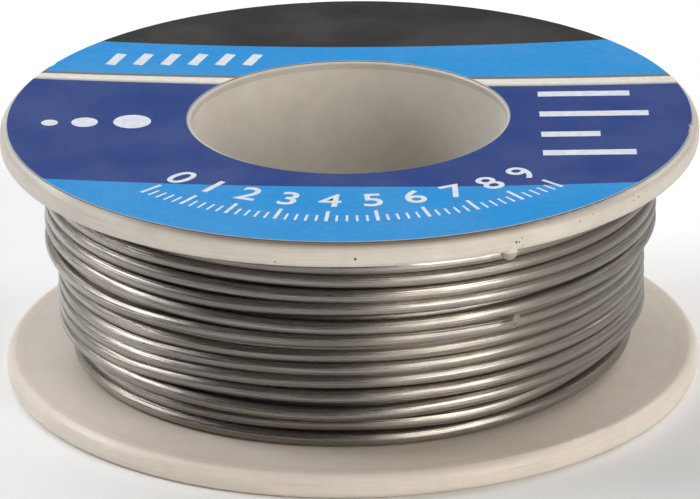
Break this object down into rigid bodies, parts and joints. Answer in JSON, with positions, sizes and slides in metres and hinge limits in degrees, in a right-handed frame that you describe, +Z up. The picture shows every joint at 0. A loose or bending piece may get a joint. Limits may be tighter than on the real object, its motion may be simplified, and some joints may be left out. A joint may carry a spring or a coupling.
{
  "type": "solder wire spool",
  "caption": "Small two-flange plastic reel with a plain round bore, a paper ring on its top flange and 1 mm flux-cored solder wire wound between the flanges.",
  "frame": {"origin": "on the spool's axis, at the underside of the lower flange that it stands on", "axes": "+Z up along the spool's axis towards the flange with the label; -Y is the front, where the wire's cut end shows to the right of the middle; +X to the right"},
  "size_m": [0.05, 0.05, 0.0191],
  "materials": {
    "reel_plastic": "satin",
    "label_paper": "satin",
    "solder": "satin",
    "flux": "matte"
  },
  "bodies": {
    "root": {"spool_lower_half": "reel_plastic", "spool_upper_half": "reel_plastic", "top_label": "label_paper", "solder_inner_layers": "solder", "solder_outer_turns": "solder", "flux_core": "flux"}
  },
  "joints": []
}
